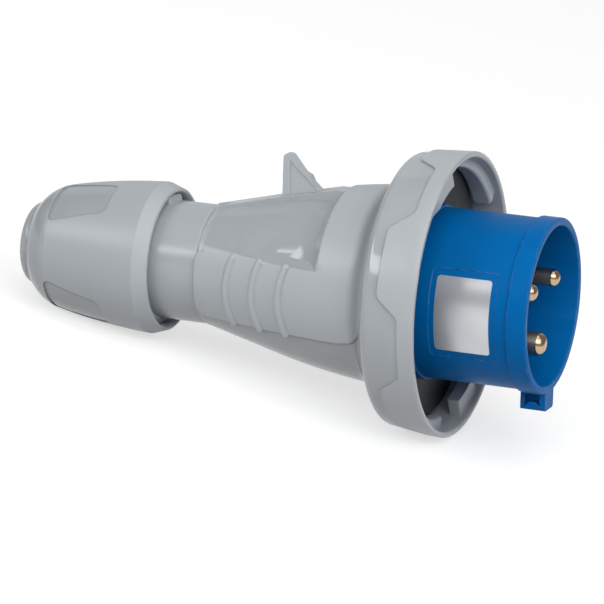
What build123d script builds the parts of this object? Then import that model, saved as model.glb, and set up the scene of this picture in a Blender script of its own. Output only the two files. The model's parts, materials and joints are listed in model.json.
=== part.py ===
from build123d import *
from math import asin, atan2, cos, degrees, hypot, radians, sin, sqrt, tan
import os

os.makedirs("parts", exist_ok=True)

# An industrial pin and sleeve plug, three pins, with a bayonet locking ring and a cable gland.
# Everything is drawn about the plug's own axis, which is X: the mating face is at x = 0, the cable
# end lies at negative x, the hook is on top at positive z. Sizes are millimetres, turns are degrees
# about the axis: 0 is up, 90 is the side with the rating label, 180 is the side with the key.

# Clearances
running_gap = 0.3
pin_gap = 0.05
seat_gap = 0.1

# Blue shroud with the floor that carries the pins
shroud_radius = 28.75
shroud_wall = 2.6
collar_length = 6.5
collar_step = 0.8
rim_round = 0.5
shroud_depth = 40.0
floor_thickness = 7.0
base_collar_length = 2.0
base_collar_height = 0.65
carrier_flange_inset = 0.4
carrier_flange_thickness = 3.5
carrier_spigot_length = 10.0
carrier_spigot_wall = 2.8

# Key under the shroud
key_width = 8.1
key_reach = 34.4
key_length = 8.5
key_front_wall = 2.0
key_rear_wall = 1.4
key_foot = 1.0
key_arch = 1.9
key_pocket_depth = 2.6

# Face gasket and the ring seal of the carrier
gasket_thickness = 3.0
gasket_width = 13.5
seal_section = 0.95
seal_groove_width = 2.6
seal_groove_depth = 1.7
seal_position = 4.0

# Pins and terminals
pitch_radius = 13.1
line_pin_radius = 3.0
earth_pin_radius = 4.0
pin_recess = 2.0
pin_root_step = 0.5
pin_root_length = 0.8
tip_length = 2.4
terminal_length = 19.0
line_terminal_radius = 5.0
earth_terminal_radius = 5.5
wire_hole_radius = 2.6
wire_hole_depth = 14.0
terminal_screw_radius = 1.7
terminal_screw_setback = 12.0
terminal_head_radius = 3.0
terminal_head_height = 1.8

# Terminal holder and the screws
holder_plate_thickness = 4.0
holder_wall = 1.9
holder_lip = 1.4
holder_lip_overlap = 1.0
holder_hub_radius = 5.0
holder_hub_length = 11.0
holder_screw_radius = 1.9
holder_screw_bite = 4.5
screw_head_height = 2.4
carrier_screw_radius = 1.9
carrier_screw_circle = 20.5
carrier_screw_spread = 60.0
carrier_screw_length = 24.0
carrier_head_radius = 3.8
slot_width = 1.0
slot_depth = 1.1

# Rating label, bare, in its recess
label_length = 18.5
label_half_turn = 26.0
label_front = 12.6
label_thickness = 0.25
recess_depth = 0.3
recess_margin = 1.9
recess_half_turn = 31.0
label_round = 1.1

# Locking ring
ring_setback = 31.3
ring_room = 2.7
ring_wall = 1.2
ring_layer = 0.8
ring_draft = 3.6
ring_shoulder = 3.0
ring_lip_thickness = 2.4
ring_edge_round = 0.7
band_width = 5.6
tab_length = 7.6
tab_count = 5
tab_pitch = 70.0
tab_first = -3.8
tab_half_turn = 22.0
tab_taper = 7.5
tab_round = 3.2
tab_corner_round = 2.4

# Bayonet lugs and ramps inside the ring, two of each
lug_spread = 180.0
lug_setback = 1.8
lug_turn = 27.5
lug_height = 6.9
lug_half_turn = 15.0
lug_thickness = 4.2
lug_lead = 9.0
lug_lead_drop = 3.0
ramp_turn = -28.0
ramp_height = 3.8
ramp_half_turn = 28.0
ramp_rise = 2.6
ramp_setback = 2.4
ramp_depth = 9.8
ramp_round = 2.4
ramp_edge_round = 1.3
ring_travel = 50.0
stop_half_turn = 5.0
stop_height = 1.6
stop_turn = 90.0

# Handle
spigot_wall = 3.4
flange_thickness = 2.0
flange_foot = 3.5
grip_step = 0.5
grip_length = 60.7
grip_straight = 26.0
grip_rear_radius = 20.0
grip_slope = 0.2525
panel_rise = 0.9
panel_top = 9.0
panel_bottom = 13.5
panel_round = 4.0
panel_lift = 2.6
panel_lift_length = 7.7
panel_corner = 2.6
ledge_tilt = 30.0
flank_rear_radius = 19.4
flank_front_radius = 27.9
flank_wall_length = 5.0
flank_wall_height = 4.4
collar_band = 13.5
ridge_width = 7.0
ridge_rear_height = 20.4
ridge_hook_height = 26.2
ridge_front_height = 30.6
rib_count = 3
rib_pitch = 10.2
rib_first = 12.6
rib_radius = 1.35
rib_sink = 0.45
rib_bow = 2.2
neck_radius = 19.8
neck_length = 17.5
neck_bore = 16.3
handle_wall = 3.2
handle_step = 1.7
boss_radius = 4.2
boss_length = 24.0
boss_web = 2.4

# Hook on the handle's back
hook_rear = 94.3
hook_flange = 2.8
hook_round = 1.3
hook_knee = 7.4
hook_knee_height = 34.8
hook_step = 2.1
hook_height = 40.4
hook_half_width = 3.3
hook_web = 5.5
hook_border = 1.3
hook_foot_length = 13.5
hook_foot_height = 29.0

# Gland on the handle's neck
thread_radius = 21.8
thread_length = 17.5
thread_lead = 1.0
seal_pocket_radius = 17.4
seal_pocket_depth = 7.0
seal_gap = 0.2
seal_bevel = 1.2
cable_radius = 8.0
cable_seal_stand = 1.6
thrust_thickness = 1.3
cage_bore = 12.2
cage_base = 2.8
cage_length = 18.0
cage_fingers = 8
cage_slit = 1.6
cage_wall = 2.2
cage_tooth = 0.9
nut_overlap = 2.0
nut_mouth_radius = 22.7
nut_front_radius = 23.7
nut_radius = 25.4
nut_bevel = 4.9
nut_crown = 33.6
nut_crown_rear_radius = 20.8
nut_crown_sagitta = 0.7
nut_tail = 8.3
nut_tail_drop = 5.4
nut_tail_swell = 0.5
nut_rear_wall = 1.9
nut_cone_front_radius = 19.6
nut_cone_rear_radius = 15.6
nut_edge_round = 0.6
scallop_count = 3
scallop_pitch = 110.0
scallop_first = 28.0
scallop_front_turn = 16.0
scallop_rear_turn = 27.0
scallop_length = 21.0
scallop_setback = 13.4
scallop_round = 2.5
scallop_depth = 0.55
guide_radius = 14.0
guide_bore = 9.4
guide_reach = 4.3
guide_round = 3.4
guide_flare = 0.9
guide_lip = 0.9
guide_lip_thickness = 2.6

# Stations along the axis, all measured back from the mating face
floor_front = -shroud_depth
floor_back = floor_front - floor_thickness
base_collar_front = floor_front + 0.5
gasket_front = base_collar_front - base_collar_length
gasket_back = gasket_front - gasket_thickness
carrier_flange_back = gasket_back - carrier_flange_thickness
carrier_back = carrier_flange_back - carrier_spigot_length
tube_radius = shroud_radius - collar_step
bore_radius = shroud_radius - shroud_wall
carrier_spigot_radius = tube_radius + 0.35
spigot_radius = carrier_spigot_radius + running_gap + spigot_wall
gasket_radius = tube_radius + base_collar_height + seat_gap + gasket_width
carrier_flange_radius = gasket_radius - carrier_flange_inset
grip_front_radius = spigot_radius + grip_step
flange_radius = grip_front_radius + panel_rise + flange_foot
ring_front = -ring_setback
ring_inner_radius = gasket_radius + ring_room
ring_base_radius = ring_inner_radius + ring_wall
ring_front_radius = ring_base_radius + ring_layer
lip_front = carrier_flange_back - running_gap
lip_back = lip_front - ring_lip_thickness
handle_front = carrier_flange_back
flange_front = lip_back - running_gap
flange_back = flange_front - flange_thickness
grip_front = flange_back - flange_foot
grip_back = grip_front - grip_length
neck_back = grip_back - neck_length
handle_back = neck_back - thread_length
seal_seat = handle_back + seal_pocket_depth
cable_seal_back = handle_back - cable_seal_stand
thrust_front = cable_seal_back - running_gap
thrust_back = thrust_front - thrust_thickness
cage_back = thrust_back - cage_length
nut_front = neck_back + nut_overlap
nut_edge = nut_front - nut_bevel
nut_crown_back = nut_edge - nut_crown
nut_back = nut_crown_back - nut_tail
nut_rear_radius = nut_crown_rear_radius - nut_tail_drop
guide_lip_back = nut_back + nut_rear_wall
guide_back = nut_back - guide_reach


def outward(turn):
    """The direction away from the axis at a turn."""
    return Vector(0, -sin(radians(turn)), cos(radians(turn)))


def across(radius, turn):
    """A point in the plane across the axis, from its radius and turn."""
    return -radius * sin(radians(turn)), radius * cos(radians(turn))


def section_plane(turn, radius=0):
    """The plane through the axis at a turn: drawn with x along the plug and y away from the axis."""
    away = outward(turn)
    return Plane(origin=away * radius, x_dir=(1, 0, 0), z_dir=Vector(1, 0, 0).cross(away))


def facing_plane(turn, radius=0):
    """A plane that faces outwards at a turn, at a radius from the axis: drawn with x along the plug."""
    away = outward(turn)
    return Plane(origin=away * radius, x_dir=(1, 0, 0), z_dir=away)


def revolved(*outline):
    """A body of revolution about the plug's axis, from the corners of its section."""
    with BuildPart() as body:
        with BuildSketch(Plane.XZ):
            with BuildLine():
                Polyline(*outline, close=True)
            make_face()
        revolve(axis=Axis.X)
    return body.part


def curved_block(turn, corners, inner, outer, corner_round=0, edge_round=0):
    """A block that is drawn flat as seen from the axis, and lies between two radii."""
    xs = [corner[0] for corner in corners]
    with BuildPart() as block:
        with BuildSketch(facing_plane(turn)) as face:
            with BuildLine():
                Polyline(*corners, close=True)
            make_face()
            if corner_round > 0:
                fillet(face.vertices(), corner_round)
        extrude(amount=outer + shroud_wall)
        with BuildSketch(Plane.YZ.offset(min(xs) - shroud_wall)):
            Circle(outer)
            Circle(inner, mode=Mode.SUBTRACT)
        extrude(amount=max(xs) - min(xs) + 2 * shroud_wall, mode=Mode.INTERSECT)
        if edge_round > 0:
            front_edge = block.edges().filter_by(
                lambda edge: hypot((edge @ 0.5).Y, (edge @ 0.5).Z) < inner + seat_gap
            ).sort_by(Axis.X)[-1]
            fillet(front_edge, edge_round)
    return block.part


def chord(radius, turn):
    """Half the width of a stretch of the given half turn, as seen from outside."""
    return radius * sin(radians(turn))


# Locking ring: a drafted barrel with a wide round shoulder and an inner lip, a raised layer outside
# that ends in tabs, and two bayonet lugs and two ramps on the inner wall.
ring_slope = radians(ring_draft)
shoulder_x = lip_back + ring_shoulder
barrel_back = shoulder_x - ring_shoulder * sin(ring_slope)
barrel_back_radius = ring_base_radius - (ring_front - barrel_back) * tan(ring_slope)
shoulder_r = barrel_back_radius - ring_shoulder * cos(ring_slope)
inner_back_radius = ring_inner_radius - (ring_front - lip_front) * tan(ring_slope)
lip_radius = spigot_radius + running_gap

with BuildPart() as ring_layer_body:
    with BuildSketch(Plane.XZ):
        with BuildLine():
            Polyline(
                (ring_front, ring_inner_radius),
                (ring_front, ring_front_radius),
                (ring_front - band_width - tab_length,
                 ring_front_radius - (band_width + tab_length) * tan(ring_slope)),
                (ring_front - band_width - tab_length, ring_inner_radius),
                close=True,
            )
        make_face()
    revolve(axis=Axis.X)
    for number in range(tab_count):
        last = number == tab_count - 1
        gap_pitch = 360 - (tab_count - 1) * tab_pitch if last else tab_pitch
        gap_turn = tab_first + number * tab_pitch + gap_pitch / 2
        front_half = chord(ring_front_radius, gap_pitch / 2 - tab_half_turn)
        rear_half = chord(ring_front_radius, gap_pitch / 2 - tab_half_turn + tab_taper)
        band_back = ring_front - band_width
        tab_back = band_back - tab_length
        with BuildSketch(facing_plane(gap_turn)) as gap:
            with BuildLine():
                Polyline(
                    (band_back, -front_half),
                    (band_back, front_half),
                    (tab_back, rear_half),
                    (tab_back - tab_round, rear_half),
                    (tab_back - tab_round, -rear_half),
                    (tab_back, -rear_half),
                    close=True,
                )
            make_face()
            fillet(gap.vertices().group_by(Axis.X)[-1], tab_round)
        extrude(amount=ring_front_radius + ring_layer, mode=Mode.SUBTRACT)
    tab_back = ring_front - band_width - tab_length
    tab_corners = ring_layer_body.edges().filter_by(GeomType.LINE).filter_by_position(
        Axis.X, tab_back - seat_gap, tab_back + seat_gap
    )
    fillet(tab_corners, tab_corner_round)

with BuildPart() as locking_ring:
    with BuildSketch(Plane.XZ):
        with BuildLine():
            Polyline(
                (lip_back, shoulder_r),
                (lip_back, lip_radius),
                (lip_front, lip_radius),
                (lip_front, inner_back_radius),
                (ring_front, ring_inner_radius),
                (ring_front, ring_base_radius),
                (barrel_back, barrel_back_radius),
            )
            CenterArc((shoulder_x, shoulder_r), ring_shoulder, 90 + ring_draft, 90 - ring_draft)
        make_face()
    revolve(axis=Axis.X)
    add(ring_layer_body.part)
    front_edges = locking_ring.edges().filter_by(GeomType.CIRCLE).filter_by_position(
        Axis.X, ring_front - seat_gap, ring_front + seat_gap
    )
    fillet(front_edges, ring_edge_round)
    for side in range(2):
        lug_front = ring_front - lug_setback
        lug_back = lug_front - lug_thickness
        lug_half = chord(ring_inner_radius, lug_half_turn)
        add(
            curved_block(
                lug_turn + lug_spread * side,
                [
                    (lug_back, -lug_half),
                    (lug_front - lug_lead_drop, -lug_half),
                    (lug_front, -lug_half + lug_lead),
                    (lug_front, lug_half),
                    (lug_back, lug_half),
                ],
                ring_inner_radius - lug_height,
                barrel_back_radius,
                rim_round,
            )
        )
        ramp_half = chord(ring_inner_radius, ramp_half_turn)
        ramp_front = ring_front - ramp_setback
        ramp_back = ring_front - ramp_depth
        add(
            curved_block(
                ramp_turn + lug_spread * side,
                [
                    (ramp_back, -ramp_half),
                    (ramp_front - ramp_rise, -ramp_half),
                    (ramp_front, ramp_half),
                    (ramp_back, ramp_half),
                ],
                ring_inner_radius - ramp_height,
                barrel_back_radius,
                ramp_round,
                ramp_edge_round,
            )
        )
        notch_start = stop_turn + stop_half_turn + 1
        notch_end = stop_turn - ring_travel - stop_half_turn - 1
        notch_reach = lip_radius + stop_height
        with BuildSketch(Plane.YZ.offset(lip_back)):
            with BuildLine():
                Line((0, 0), across(notch_reach, notch_end + lug_spread * side))
                ThreePointArc(
                    across(notch_reach, notch_end + lug_spread * side),
                    across(notch_reach, (notch_start + notch_end) / 2 + lug_spread * side),
                    across(notch_reach, notch_start + lug_spread * side),
                )
                Line(across(notch_reach, notch_start + lug_spread * side), (0, 0))
            make_face()
        extrude(amount=ring_lip_thickness, mode=Mode.SUBTRACT)

# Pin carrier: the blue shroud, its floor with the pin holes, the flange and the spigot behind it, the
# key under the rim and the shallow recess for the label.
carrier_spigot_bore = carrier_spigot_radius - carrier_spigot_wall
groove_front = carrier_flange_back - seal_position
line_turns = [60, 300]
earth_turn = 180
screw_turns = [earth_turn - carrier_screw_spread, earth_turn + carrier_screw_spread]
head_seat = floor_front - carrier_screw_radius * 1.5
with BuildPart() as pin_carrier:
    with BuildSketch(Plane.XZ):
        with BuildLine():
            Polyline(
                (0, bore_radius),
                (0, shroud_radius),
                (-collar_length, shroud_radius),
                (-collar_length, tube_radius),
                (base_collar_front, tube_radius),
                (base_collar_front, tube_radius + base_collar_height),
                (gasket_back, tube_radius + base_collar_height),
                (gasket_back, carrier_flange_radius),
                (carrier_flange_back, carrier_flange_radius),
                (carrier_flange_back, carrier_spigot_radius),
                (groove_front, carrier_spigot_radius),
                (groove_front, carrier_spigot_radius - seal_groove_depth),
                (groove_front - seal_groove_width, carrier_spigot_radius - seal_groove_depth),
                (groove_front - seal_groove_width, carrier_spigot_radius),
                (carrier_back, carrier_spigot_radius),
                (carrier_back, carrier_spigot_bore),
                (floor_back, carrier_spigot_bore),
                (floor_back, 0),
                (floor_front, 0),
                (floor_front, bore_radius),
                close=True,
            )
        make_face()
    revolve(axis=Axis.X)
    rim = pin_carrier.edges().filter_by(GeomType.CIRCLE).filter_by_position(
        Axis.X, -seat_gap, seat_gap
    )
    fillet(rim, rim_round)
    with BuildSketch(Plane.YZ):
        with Locations((0, -(key_reach + bore_radius + seat_gap) / 2)):
            Rectangle(key_width, key_reach - bore_radius - seat_gap)
    extrude(amount=-key_length)
    key_corners = pin_carrier.edges().filter_by(Axis.X).filter_by_position(
        Axis.Z, -key_reach - seat_gap, -key_reach + seat_gap
    )
    fillet(key_corners, rim_round * 2)
    with BuildSketch(Plane.YZ):
        Circle(bore_radius)
    extrude(amount=-key_length, mode=Mode.SUBTRACT)
    pocket_length = key_length - key_front_wall - key_rear_wall
    pocket_low = -key_reach + key_foot
    pocket_high = -shroud_radius - rim_round
    pocket_back = -key_front_wall - pocket_length
    for side in (-1, 1):
        with BuildSketch(Plane.XZ.offset(side * key_width / 2)):
            with BuildLine():
                Line((-key_front_wall, pocket_high), (-key_front_wall, pocket_low))
                ThreePointArc(
                    (-key_front_wall, pocket_low),
                    (-key_front_wall - pocket_length / 2, pocket_low + key_arch),
                    (pocket_back, pocket_low),
                )
                Line((pocket_back, pocket_low), (pocket_back, pocket_high))
                ThreePointArc(
                    (pocket_back, pocket_high),
                    (-key_front_wall - pocket_length / 2, pocket_high + rim_round),
                    (-key_front_wall, pocket_high),
                )
            make_face()
        extrude(amount=-side * key_pocket_depth, mode=Mode.SUBTRACT)
    for turn in line_turns:
        with BuildSketch(Plane.YZ.offset(floor_back)):
            with Locations(across(pitch_radius, turn)):
                Circle(line_pin_radius + pin_root_step + pin_gap)
        extrude(amount=floor_thickness, mode=Mode.SUBTRACT)
    with BuildSketch(Plane.YZ.offset(floor_back)):
        with Locations(across(pitch_radius, earth_turn)):
            Circle(earth_pin_radius + pin_root_step + pin_gap)
    extrude(amount=floor_thickness, mode=Mode.SUBTRACT)
    for turn in screw_turns:
        with BuildSketch(Plane.YZ.offset(floor_back)):
            with Locations(across(carrier_screw_circle, turn)):
                Circle(carrier_screw_radius + running_gap)
        extrude(amount=floor_thickness, mode=Mode.SUBTRACT)
        with BuildSketch(Plane.YZ.offset(head_seat)):
            with Locations(across(carrier_screw_circle, turn)):
                Circle(carrier_head_radius + running_gap)
        extrude(amount=floor_front - head_seat, mode=Mode.SUBTRACT)
    with BuildSketch(Plane.YZ.offset(floor_back)):
        Circle(holder_screw_radius + pin_gap)
    extrude(amount=holder_screw_bite + seat_gap, mode=Mode.SUBTRACT)
    recess_half = chord(tube_radius, recess_half_turn)
    add(
        curved_block(
            90,
            [
                (-label_front + recess_margin, -recess_half),
                (-label_front + recess_margin, recess_half),
                (-label_front - label_length - recess_margin, recess_half),
                (-label_front - label_length - recess_margin, -recess_half),
            ],
            tube_radius - recess_depth,
            shroud_radius + shroud_wall,
            label_round,
        ),
        mode=Mode.SUBTRACT,
    )
pin_carrier.part.label = "pin_carrier"

# Rating label: a thin silver sheet that lies in the recess and carries nothing.
label_half = chord(tube_radius, label_half_turn)
with BuildPart() as rating_label:
    add(
        curved_block(
            90,
            [
                (-label_front, -label_half),
                (-label_front, label_half),
                (-label_front - label_length, label_half),
                (-label_front - label_length, -label_half),
            ],
            tube_radius - recess_depth,
            tube_radius - recess_depth + label_thickness,
            label_round,
        )
    )
rating_label.part.label = "rating_label"

# Face gasket: a flat rubber ring that lies on the flange, round the foot of the shroud.
with BuildPart() as face_gasket:
    with BuildSketch(Plane.YZ.offset(gasket_back)):
        Circle(gasket_radius)
        Circle(tube_radius + base_collar_height + seat_gap, mode=Mode.SUBTRACT)
    extrude(amount=gasket_thickness)
face_gasket.part.label = "face_gasket"

# Body seal: an O-ring in the groove of the carrier's spigot.
with BuildPart() as body_seal:
    with BuildSketch(Plane.XZ):
        groove_floor = carrier_spigot_radius - seal_groove_depth
        with Locations((groove_front - seal_groove_width / 2, groove_floor + seal_section)):
            Circle(seal_section)
    revolve(axis=Axis.X)
body_seal.part.label = "body_seal"


def contact_pin(turn, radius, terminal_radius):
    """A turned brass pin with a domed tip, and behind the floor its wire terminal."""
    tip = -pin_recess
    plane = section_plane(turn, pitch_radius)
    terminal_back = floor_back - terminal_length
    with BuildPart() as pin:
        with BuildSketch(plane):
            with BuildLine():
                ThreePointArc(
                    (tip, 0),
                    (tip - tip_length * (1 - sqrt(0.5)), radius * sqrt(0.5)),
                    (tip - tip_length, radius),
                )
                Polyline(
                    (tip - tip_length, radius),
                    (floor_front + pin_root_length, radius),
                    (floor_front + pin_root_length, radius + pin_root_step),
                    (floor_back, radius + pin_root_step),
                    (floor_back, terminal_radius),
                    (terminal_back, terminal_radius),
                    (terminal_back, wire_hole_radius),
                    (terminal_back + wire_hole_depth, wire_hole_radius),
                    (terminal_back + wire_hole_depth, 0),
                    (tip, 0),
                )
            make_face()
        revolve(axis=Axis(plane.origin, (1, 0, 0)))
        with BuildSketch(facing_plane(turn, pitch_radius)):
            with Locations((floor_back - terminal_screw_setback, 0)):
                Circle(terminal_screw_radius + pin_gap)
        extrude(amount=terminal_radius + seat_gap, mode=Mode.SUBTRACT)
    return pin.part


def terminal_screw(turn, terminal_radius):
    """A slotted screw that goes into the terminal from outside and presses on the wire."""
    head_start = pitch_radius + terminal_radius + seat_gap
    place = (floor_back - terminal_screw_setback, 0)
    with BuildPart() as screw:
        with BuildSketch(facing_plane(turn, pitch_radius + wire_hole_radius * 0.5)):
            with Locations(place):
                Circle(terminal_screw_radius)
        extrude(amount=head_start - pitch_radius - wire_hole_radius * 0.5)
        with BuildSketch(facing_plane(turn, head_start)):
            with Locations(place):
                Circle(terminal_head_radius)
        extrude(amount=terminal_head_height)
        with BuildSketch(facing_plane(turn, head_start + terminal_head_height - slot_depth)):
            with Locations(place):
                Rectangle(slot_width, 2 * terminal_head_radius)
        extrude(amount=slot_depth, mode=Mode.SUBTRACT)
    return screw.part


earth_pin = contact_pin(earth_turn, earth_pin_radius, earth_terminal_radius)
earth_pin.label = "earth_pin"
line_pin = contact_pin(line_turns[0], line_pin_radius, line_terminal_radius)
line_pin.label = "line_pin"
neutral_pin = contact_pin(line_turns[1], line_pin_radius, line_terminal_radius)
neutral_pin.label = "neutral_pin"
earth_screw = terminal_screw(earth_turn, earth_terminal_radius)
earth_screw.label = "earth_terminal_screw"
line_screw = terminal_screw(line_turns[0], line_terminal_radius)
line_screw.label = "line_terminal_screw"
neutral_screw = terminal_screw(line_turns[1], line_terminal_radius)
neutral_screw.label = "neutral_terminal_screw"

# Terminal holder: a plate behind the floor with a sleeve round each terminal, a lip behind it, and a
# hub for the screw in the middle.
holder_back = floor_back - terminal_length - seat_gap - holder_lip
hub_back = floor_back - holder_plate_thickness - holder_hub_length
terminals = [(line_turns[0], line_terminal_radius), (line_turns[1], line_terminal_radius)]
terminals.append((earth_turn, earth_terminal_radius))
with BuildPart() as terminal_holder:
    with BuildSketch(Plane.YZ.offset(floor_back - holder_plate_thickness)):
        Circle(carrier_spigot_bore - running_gap)
    extrude(amount=holder_plate_thickness)
    with BuildSketch(Plane.YZ.offset(hub_back)):
        Circle(holder_hub_radius)
    extrude(amount=holder_hub_length)
    for turn, terminal_radius in terminals:
        with BuildSketch(Plane.YZ.offset(holder_back)):
            with Locations(across(pitch_radius, turn)):
                Circle(terminal_radius + seat_gap + holder_wall)
        extrude(amount=floor_back - holder_back)
    for turn, terminal_radius in terminals:
        with BuildSketch(Plane.YZ.offset(holder_back)):
            with Locations(across(pitch_radius, turn)):
                Circle(terminal_radius - holder_lip_overlap)
        extrude(amount=holder_lip, mode=Mode.SUBTRACT)
        with BuildSketch(Plane.YZ.offset(holder_back + holder_lip)):
            with Locations(across(pitch_radius, turn)):
                Circle(terminal_radius + seat_gap)
        extrude(amount=floor_back - holder_back, mode=Mode.SUBTRACT)
        with BuildSketch(facing_plane(turn, pitch_radius)):
            with Locations((floor_back - terminal_screw_setback, 0)):
                Circle(terminal_head_radius + running_gap)
        extrude(amount=carrier_spigot_bore, mode=Mode.SUBTRACT)
    for turn in screw_turns:
        with BuildSketch(Plane.YZ.offset(floor_back - holder_plate_thickness)):
            with Locations(across(carrier_screw_circle, turn)):
                Circle(carrier_screw_radius + running_gap)
        extrude(amount=holder_plate_thickness, mode=Mode.SUBTRACT)
    with BuildSketch(Plane.YZ.offset(hub_back)):
        Circle(holder_screw_radius + pin_gap)
    extrude(amount=floor_back - hub_back, mode=Mode.SUBTRACT)
terminal_holder.part.label = "terminal_holder"


def slotted_screw(point, head_face, direction, shank, radius, head_radius):
    """A slotted screw along the plug, from the point where its head seats, with its shank going the
    other way from its head."""
    seat = Plane(origin=(head_face, point[0], point[1]), x_dir=(0, 1, 0), z_dir=(direction, 0, 0))
    with BuildPart() as screw:
        with BuildSketch(seat):
            Circle(head_radius)
        extrude(amount=screw_head_height)
        with BuildSketch(seat):
            Circle(radius)
        extrude(amount=-shank)
        with BuildSketch(seat.offset(screw_head_height - slot_depth)):
            Rectangle(2 * head_radius, slot_width)
        extrude(amount=slot_depth, mode=Mode.SUBTRACT)
    return screw.part


holder_shank = holder_screw_bite + floor_back - hub_back
holder_screw = slotted_screw((0, 0), hub_back, -1, holder_shank, holder_screw_radius, holder_hub_radius - 1.4)
holder_screw.label = "holder_screw"
carrier_screws = [
    slotted_screw(
        across(carrier_screw_circle, turn), head_seat, 1, carrier_screw_length,
        carrier_screw_radius, carrier_head_radius,
    )
    for turn in screw_turns
]

# Handle: one moulded housing. Its grip is a turned form with flanks set back on top and a lower surface
# below; the collar, the side panels with their ribs, the ridge and the hook stand out from it.
straight_front = grip_back + grip_straight
straight_radius = grip_rear_radius + grip_straight * grip_slope
wall_front = grip_front - collar_band
wall_back = wall_front - flank_wall_length
boss_front = floor_back - holder_plate_thickness - running_gap
boss_back = boss_front - boss_length
screw_tip = head_seat - carrier_screw_length
carrier_bore = carrier_spigot_radius + running_gap
cavity_front = carrier_back - running_gap


def grip_solid(rise):
    """The turned form of the grip, raised by an amount: a cone that swells towards the flange."""
    with BuildPart() as solid:
        with BuildSketch(Plane.XZ):
            with BuildLine():
                Polyline(
                    (grip_front, grip_front_radius + rise),
                    (grip_front, 0),
                    (grip_back, 0),
                    (grip_back, grip_rear_radius + rise),
                    (straight_front, straight_radius + rise),
                )
                TangentArc(
                    (straight_front, straight_radius + rise),
                    (grip_front, grip_front_radius + rise),
                    tangent=(1, grip_slope),
                )
            make_face()
        revolve(axis=Axis.X)
    return solid.part


def ledge_plane(side):
    """The slanted plane of a panel's upper edge: it rises from the edge towards the flank."""
    rear = Vector(grip_back, side * (grip_rear_radius + panel_rise), panel_top)
    front = Vector(grip_front, side * (grip_front_radius + panel_rise), panel_top)
    inwards = Vector(0, -side * cos(radians(ledge_tilt)), sin(radians(ledge_tilt)))
    upwards = inwards.cross(front - rear) * side
    return Plane(origin=rear, x_dir=front - rear, z_dir=upwards)


def flank_cut(side):
    """What is taken off above a panel: down to the flank's cone, as far as the slanted wall in front."""
    with BuildPart() as cut:
        add(
            revolved(
                (grip_back, flank_rear_radius),
                (wall_back, flank_front_radius),
                (wall_back + 2 * flank_wall_length, flank_front_radius + 2 * flank_wall_height),
                (grip_back, flank_front_radius + 2 * flank_wall_height),
            )
        )
        with BuildSketch(ledge_plane(side)):
            Rectangle(2 * grip_length, 4 * flange_radius)
        extrude(amount=2 * flange_radius, mode=Mode.INTERSECT)
    return cut.part


with BuildPart() as under_cut:
    with BuildSketch(Plane.XZ):
        with BuildLine():
            JernArc((grip_back, panel_round - panel_bottom), (0, -1), panel_round, 90)
            Line((grip_back + panel_round, -panel_bottom), (grip_front - panel_lift_length, -panel_bottom))
            TangentArc(
                (grip_front - panel_lift_length, -panel_bottom),
                (grip_front, panel_lift - panel_bottom),
                tangent=(1, 0),
            )
            Polyline(
                (grip_front, panel_lift - panel_bottom),
                (grip_front, -flange_radius),
                (grip_back, -flange_radius),
                (grip_back, panel_round - panel_bottom),
            )
        make_face()
    extrude(amount=flange_radius, both=True)
    add(grip_solid(0), mode=Mode.SUBTRACT)


with BuildPart() as panel_corners:
    with BuildSketch(Plane.XZ):
        with BuildLine():
            JernArc((grip_back, panel_top - panel_corner), (0, 1), panel_corner, -90)
            Polyline(
                (grip_back + panel_corner, panel_top),
                (grip_back + panel_corner, panel_top + 2 * panel_corner),
                (grip_back, panel_top + 2 * panel_corner),
                (grip_back, panel_top - panel_corner),
            )
        make_face()
    extrude(amount=flange_radius, both=True)
    add(
        revolved(
            (grip_back, 0),
            (grip_back, flank_rear_radius),
            (wall_back, flank_front_radius),
            (wall_back, 0),
        ),
        mode=Mode.SUBTRACT,
    )


def rib(number):
    """A round bead across the near panel, bowed rearwards: its ends lie further forward."""
    points = []
    for share in (-1, 0, 1):
        height = (panel_top - panel_bottom) / 2 + share * (panel_top + panel_bottom) / 2
        x = grip_back + rib_first + number * rib_pitch + rib_bow * share ** 2
        radius = grip_rear_radius + (x - grip_back) * grip_slope + panel_rise - rib_sink
        points.append((x, -sqrt(radius ** 2 - height ** 2), height))
    with BuildPart() as bead:
        with BuildLine() as path:
            ThreePointArc(*points)
        with BuildSketch(Plane(origin=path.line @ 0, z_dir=path.line % 0)):
            Circle(rib_radius)
        sweep()
        with Locations(points[0], points[-1]):
            Sphere(rib_radius)
    return bead.part


# The hook: a flat web with a wide rear wall and a raised border along its slope.
hook_back = -hook_rear
hook_knee_x = hook_back + hook_knee
hook_step_x = hook_knee_x + hook_step
hook_foot_x = hook_back + hook_foot_length
with BuildPart() as hook:
    with BuildSketch(Plane.XZ) as hook_view:
        with BuildLine():
            Polyline(
                (hook_back, ridge_rear_height),
                (hook_back, hook_height),
                (hook_back + hook_flange, hook_height),
                (hook_knee_x, hook_knee_height),
                (hook_step_x, hook_knee_height - hook_step / 2),
                (hook_step_x + hook_step / 2, hook_knee_height - hook_step * 1.5),
                (hook_foot_x, hook_foot_height),
                (hook_foot_x, ridge_rear_height),
                close=True,
            )
        make_face()
        fillet(hook_view.vertices().group_by(Axis.Y)[-1], hook_round)
    extrude(amount=hook_half_width, both=True)
    for side in (-1, 1):
        with BuildSketch(Plane.XZ.offset(side * hook_half_width)) as hook_pocket:
            with BuildLine():
                Polyline(
                    (hook_back + hook_flange, ridge_rear_height),
                    (hook_back + hook_flange, hook_height - 2.6 * hook_border),
                    (hook_knee_x - hook_border, hook_knee_height - hook_border),
                    (hook_foot_x - 2.4 * hook_border, hook_foot_height),
                    (hook_foot_x - 2.4 * hook_border, ridge_rear_height),
                    close=True,
                )
            make_face()
        extrude(amount=-side * (hook_half_width - hook_web / 2), mode=Mode.SUBTRACT)

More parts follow.
